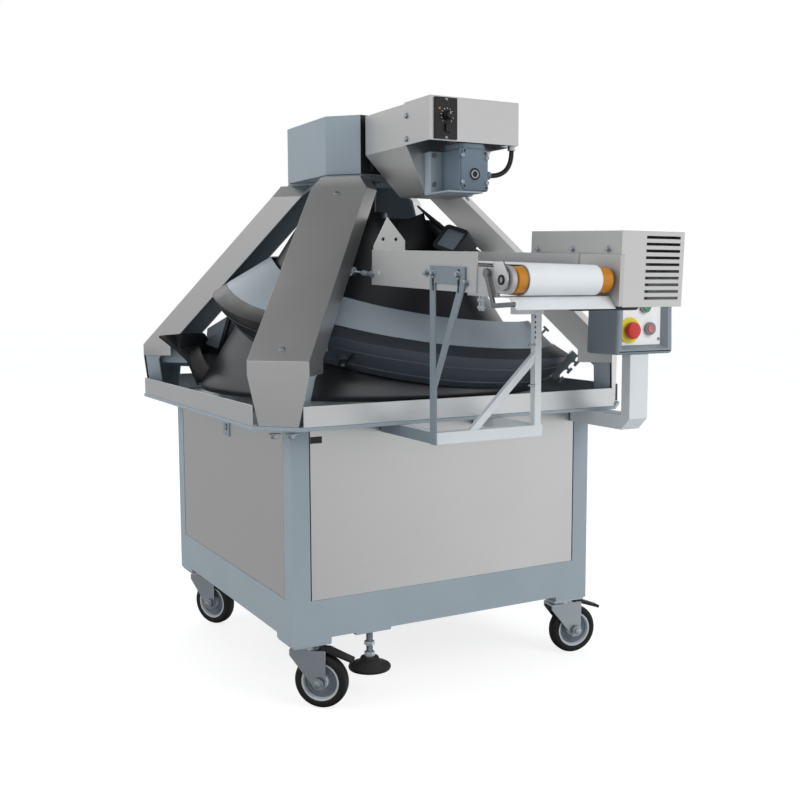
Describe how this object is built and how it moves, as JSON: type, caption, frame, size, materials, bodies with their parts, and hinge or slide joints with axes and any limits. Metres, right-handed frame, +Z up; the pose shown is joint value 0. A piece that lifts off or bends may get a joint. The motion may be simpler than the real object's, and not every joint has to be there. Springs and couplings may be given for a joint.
{
  "type": "conical dough rounder",
  "caption": "Conical dough rounder on casters: a turning cone in a spiral track under a four-column frame, with flour duster, outfeed belt and control station.",
  "frame": {"origin": "floor level under the middle of the object's box, wheels on the floor", "axes": "+Z up, +X to the right along the front, the outfeed belt and control station face -Y"},
  "size_m": [1.0706, 1.4724, 1.3704],
  "materials": {
    "frame_paint": "satin",
    "casting_paint": "satin",
    "stainless": "brushed",
    "bare_steel": "turned",
    "zinc": "zinc plated",
    "wheel_rubber": "matt",
    "foot_rubber": "matt",
    "pedal_plastic": "moulded",
    "cone_coating": "dark non-stick coat",
    "black_plastic": "moulded",
    "cable_sheath": "matt",
    "belt_white": "smooth coated",
    "roller_plastic": "turned",
    "housing_plastic": "moulded",
    "plate_paint": "satin",
    "stop_red": "gloss",
    "start_green": "gloss"
  },
  "bodies": {
    "machine": {"caster_plates": "zinc", "base_frame": "frame_paint", "fixed_panels": "stainless", "deck_plate": "frame_paint", "deck_rims": "stainless", "column_frames": "frame_paint", "column_covers": "stainless", "head_cover": "frame_paint", "head_plate": "frame_paint", "shaft_bearings": "bare_steel", "main_gearmotor": "frame_paint", "cone_skirt_ring": "stainless", "track_lower": "casting_paint", "track_front": "casting_paint", "track_upper": "casting_paint", "track_covers": "casting_paint", "track_brackets": "frame_paint", "flour_hopper": "stainless", "duster_brackets": "frame_paint", "duster_gearmotor": "frame_paint", "duster_control_box": "stainless", "speed_controller": "black_plastic", "duster_cable": "cable_sheath", "conveyor_frame": "stainless", "conveyor_belt": "belt_white", "belt_scraper": "stainless", "outlet_chute": "stainless", "motor_cover": "stainless", "conveyor_gearmotor": "frame_paint", "conveyor_bracket": "frame_paint", "station_arm": "frame_paint", "control_housing": "housing_plastic", "control_plate": "plate_paint", "machine_screws": "stainless"},
    "cone_rotor": {"cone": "cone_coating", "main_shaft": "bare_steel"},
    "left_door": {"left_panel": "stainless"},
    "door_lock": {"latch_lock": "bare_steel"},
    "foot_front": {"levelling_foot_front": "foot_rubber"},
    "foot_rear": {"levelling_foot_rear": "foot_rubber"},
    "clamp_lever": {"track_clamp_lever": "black_plastic"},
    "dosing_rotor": {"dosing_roller": "roller_plastic"},
    "knob": {"speed_knob": "black_plastic"},
    "toggle": {"power_toggle": "black_plastic"},
    "front_roller": {"drive_roller": "roller_plastic"},
    "rear_roller": {"idler_roller": "bare_steel"},
    "release_lever": {"belt_release_lever": "bare_steel"},
    "estop": {"emergency_stop_button": "stop_red"},
    "stop": {"stop_button": "stop_red"},
    "start": {"start_button": "start_green"},
    "caster_fl": {"caster_fork_fl": "zinc"},
    "wheel_fl": {"caster_wheel_fl": "wheel_rubber"},
    "brake_fl": {"caster_brake_fl": "pedal_plastic"},
    "caster_fr": {"caster_fork_fr": "zinc"},
    "wheel_fr": {"caster_wheel_fr": "wheel_rubber"},
    "brake_fr": {"caster_brake_fr": "pedal_plastic"},
    "caster_rl": {"caster_fork_rl": "zinc"},
    "wheel_rl": {"caster_wheel_rl": "wheel_rubber"},
    "caster_rr": {"caster_fork_rr": "zinc"},
    "wheel_rr": {"caster_wheel_rr": "wheel_rubber"}
  },
  "joints": [
    {"name": "cone_spin", "type": "hinge", "parent": "machine", "child": "cone_rotor", "pos_m": [0.0072, 0.20535, 0.696], "axis": [0, 0, 1], "continuous": true},
    {"name": "caster_swivel_fl", "type": "hinge", "parent": "machine", "child": "caster_fl", "pos_m": [-0.3528, -0.15465, 0.137], "axis": [0, 0, 1], "continuous": true},
    {"name": "wheel_roll_fl", "type": "hinge", "parent": "caster_fl", "child": "wheel_fl", "pos_m": [-0.32307, -0.18142, 0.0625], "axis": [0.6691, 0.7431, 0], "continuous": true},
    {"name": "brake_press_fl", "type": "hinge", "parent": "caster_fl", "child": "brake_fl", "pos_m": [-0.31712, -0.18677, 0.134], "axis": [0.6691, 0.7431, 0], "range_deg": [0, 8]},
    {"name": "caster_swivel_fr", "type": "hinge", "parent": "machine", "child": "caster_fr", "pos_m": [0.36721, -0.15465, 0.137], "axis": [0, 0, 1], "continuous": true},
    {"name": "wheel_roll_fr", "type": "hinge", "parent": "caster_fr", "child": "wheel_fr", "pos_m": [0.40671, -0.16091, 0.0625], "axis": [0.1564, 0.9877, 0], "continuous": true},
    {"name": "brake_press_fr", "type": "hinge", "parent": "caster_fr", "child": "brake_fr", "pos_m": [0.41461, -0.16216, 0.134], "axis": [0.1564, 0.9877, 0], "range_deg": [0, 8]},
    {"name": "caster_swivel_rl", "type": "hinge", "parent": "machine", "child": "caster_rl", "pos_m": [-0.3528, 0.56535, 0.137], "axis": [0, 0, 1], "continuous": true},
    {"name": "wheel_roll_rl", "type": "hinge", "parent": "caster_rl", "child": "wheel_rl", "pos_m": [-0.3328, 0.53071, 0.0625], "axis": [0.866, 0.5, 0], "continuous": true},
    {"name": "caster_swivel_rr", "type": "hinge", "parent": "machine", "child": "caster_rr", "pos_m": [0.36721, 0.56535, 0.137], "axis": [0, 0, 1], "continuous": true},
    {"name": "wheel_roll_rr", "type": "hinge", "parent": "caster_rr", "child": "wheel_rr", "pos_m": [0.39997, 0.54241, 0.0625], "axis": [0.5736, 0.8192, 0], "continuous": true},
    {"name": "foot_front_level", "type": "slide", "parent": "machine", "child": "foot_front", "axis": [0, 0, 1], "range_m": [-0.068, 0.005]},
    {"name": "foot_rear_level", "type": "slide", "parent": "machine", "child": "foot_rear", "axis": [0, 0, 1], "range_m": [-0.068, 0.005]},
    {"name": "left_door_tilt", "type": "hinge", "parent": "machine", "child": "left_door", "pos_m": [-0.4018, 0.20535, 0.2575], "axis": [0, -1, 0], "range_deg": [0, 25]},
    {"name": "door_lock_turn", "type": "hinge", "parent": "left_door", "child": "door_lock", "pos_m": [-0.4018, 0.20535, 0.607], "axis": [1, 0, 0], "range_deg": [0, 90]},
    {"name": "track_clamp_turn", "type": "hinge", "parent": "machine", "child": "clamp_lever", "pos_m": [-0.25056, -0.16278, 0.79775], "axis": [-0.4174, -0.5962, -0.6858], "range_deg": [-90, 90]},
    {"name": "dosing_spin", "type": "hinge", "parent": "machine", "child": "dosing_rotor", "pos_m": [0.0072, -0.29465, 1.20341], "axis": [0, 1, 0], "continuous": true},
    {"name": "speed_knob_turn", "type": "hinge", "parent": "machine", "child": "knob", "pos_m": [-0.06779, -0.30965, 1.32441], "axis": [0, 1, 0], "range_deg": [-150, 150]},
    {"name": "power_toggle_tip", "type": "hinge", "parent": "machine", "child": "toggle", "pos_m": [-0.06779, -0.3081, 1.29841], "axis": [1, 0, 0], "range_deg": [-6, 6]},
    {"name": "front_roller_spin", "type": "hinge", "parent": "machine", "child": "front_roller", "pos_m": [0.0072, -0.69665, 0.966], "axis": [1, 0, 0], "continuous": true},
    {"name": "rear_roller_spin", "type": "hinge", "parent": "machine", "child": "rear_roller", "pos_m": [0.0072, -0.20112, 0.98764], "axis": [1, 0, 0], "continuous": true},
    {"name": "belt_release_turn", "type": "hinge", "parent": "machine", "child": "release_lever", "pos_m": [-0.1808, -0.64218, 0.97939], "axis": [1, 0, 0], "range_deg": [0, 60]},
    {"name": "estop_press", "type": "slide", "parent": "machine", "child": "estop", "axis": [0, 1, 0], "range_m": [0, 0.004]},
    {"name": "stop_press", "type": "slide", "parent": "machine", "child": "stop", "axis": [0, 1, 0], "range_m": [0, 0.004], "stiffness_N_per_m": 900},
    {"name": "start_press", "type": "slide", "parent": "machine", "child": "start", "axis": [0, 1, 0], "range_m": [0, 0.004], "stiffness_N_per_m": 900}
  ],
  "couplings": [
    {"joint": "rear_roller_spin", "follows": "front_roller_spin", "ratio": 1}
  ]
}
